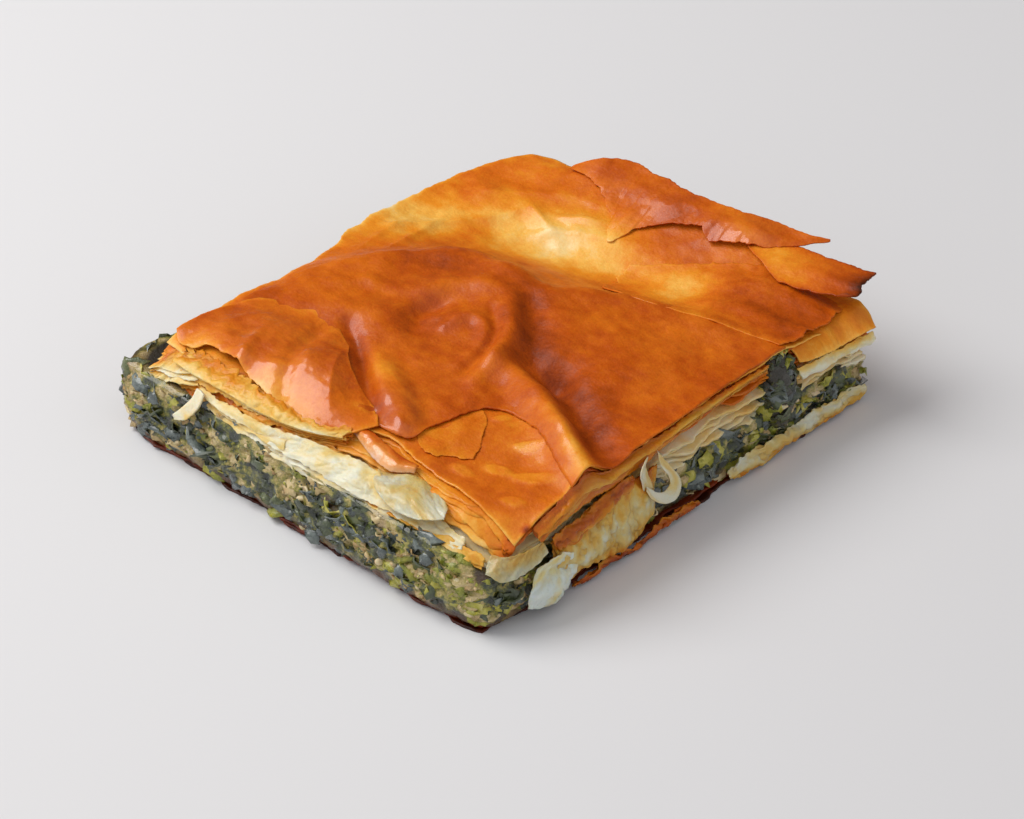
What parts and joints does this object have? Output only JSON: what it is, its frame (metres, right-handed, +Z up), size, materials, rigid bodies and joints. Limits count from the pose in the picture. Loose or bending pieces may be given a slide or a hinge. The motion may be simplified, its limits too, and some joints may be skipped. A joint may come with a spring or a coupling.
{
  "type": "spanakopita pie slice",
  "caption": "Cut square of spanakopita with a thin baked base, a thick spinach filling, a flaky browned top pastry and pale pastry folded down the tray edge.",
  "frame": {"origin": "centre of the bounding box's bottom face, where the slice rests on its plate", "axes": "+Z up; +X along the front cut face towards the corner it shares with the tray edge; +Y from the front cut face towards the back"},
  "size_m": [0.1184, 0.1292, 0.036],
  "materials": {
    "base_pastry": "baked pastry, stands in as matte plastic",
    "spinach_filling": "moist cooked spinach, stands in as matte plastic",
    "top_pastry": "glossy browned pastry, stands in as matte plastic",
    "side_pastry": "pale soft pastry, stands in as matte plastic"
  },
  "bodies": {
    "root": {"base_pastry": "base_pastry", "spinach_filling": "spinach_filling", "top_pastry": "top_pastry", "side_pastry": "side_pastry"}
  },
  "joints": []
}
